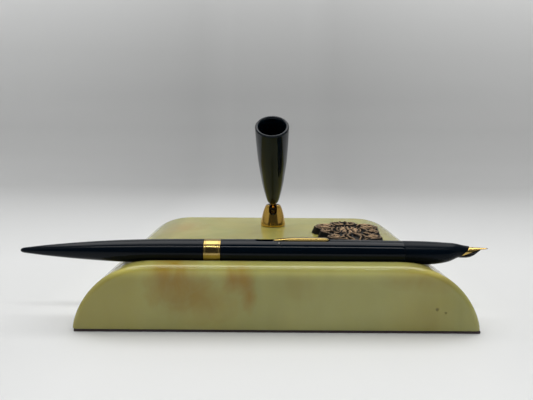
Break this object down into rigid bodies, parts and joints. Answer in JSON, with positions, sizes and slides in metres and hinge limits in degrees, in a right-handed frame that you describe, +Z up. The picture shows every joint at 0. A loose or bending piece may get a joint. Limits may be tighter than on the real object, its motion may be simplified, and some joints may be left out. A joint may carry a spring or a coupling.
{
  "type": "desk pen set",
  "caption": "Polished stone desk base with a ball-jointed trumpet pen holder, a cast ornament and a lever-filling desk fountain pen resting in a groove.",
  "frame": {"origin": "centre of the felt underside, which the set stands on", "axes": "+X along the pen towards its nib, +Y from the pen towards the pen holder, +Z up"},
  "size_m": [0.1835, 0.1034, 0.0818],
  "materials": {
    "onyx": "polished, translucent pale olive with brown clouding",
    "felt": "dark felt",
    "bronze": "antiqued copper bronze, dark in the hollows",
    "brass": "polished",
    "steel": "plain",
    "nylon": "moulded",
    "trumpet_black": "glossy black",
    "liner_black": "satin black",
    "pen_black": "glossy black",
    "section_black": "satin black",
    "feed_black": "hard rubber, satin",
    "gold": "polished gold plate",
    "sac_rubber": "matt latex",
    "tip_alloy": "ground and polished"
  },
  "bodies": {
    "base": {"stone_base": "onyx", "felt_pad": "felt", "ornament_casting": "bronze", "pivot_stud": "brass", "flat_washer": "steel", "spring_washer": "steel", "hex_nut": "steel"},
    "swivel": {"swivel_housing": "brass", "friction_spring": "steel", "ball_follower": "nylon"},
    "stem": {"ball_stem": "brass", "stem_nut": "brass"},
    "trumpet": {"trumpet_shell": "trumpet_black", "trumpet_liner": "liner_black"},
    "pen": {"tail_taper": "pen_black", "trim_band": "gold", "barrel": "pen_black", "lever_pin": "steel", "ink_sac": "sac_rubber", "grip_section": "section_black", "nib": "gold", "nib_tip": "tip_alloy", "feed": "feed_black"},
    "lever": {"filling_lever": "gold"},
    "bar": {"pressure_bar": "steel"}
  },
  "joints": [
    {"name": "swivel_turn", "type": "hinge", "parent": "base", "child": "swivel", "pos_m": [-0.0003, 0.028, 0.0256], "axis": [0, 0, 1], "continuous": true},
    {"name": "trumpet_tilt", "type": "hinge", "parent": "swivel", "child": "stem", "pos_m": [-0.0003, 0.028, 0.03415], "axis": [0.999, -0.0454, 0], "range_deg": [-44, 41]},
    {"name": "trumpet_spin", "type": "hinge", "parent": "stem", "child": "trumpet", "pos_m": [-0.0003, 0.028, 0.03415], "axis": [-0.0285, -0.6287, 0.7771], "continuous": true},
    {"name": "pen_lift", "type": "slide", "parent": "base", "child": "pen", "axis": [0, 0, 1], "range_m": [0, 0.06]},
    {"name": "lever_swing", "type": "hinge", "parent": "pen", "child": "lever", "pos_m": [0.0008, -0.038, 0.032], "axis": [0, -1, 0], "range_deg": [0, 80]},
    {"name": "pressure_bar_drop", "type": "slide", "parent": "pen", "child": "bar", "axis": [0, 0, -1], "range_m": [0, 0.00302], "deforming": ["ink_sac"]}
  ],
  "couplings": [
    {"joint": "pressure_bar_drop", "follows": "lever_swing", "m_per_rad": 0.00215}
  ]
}
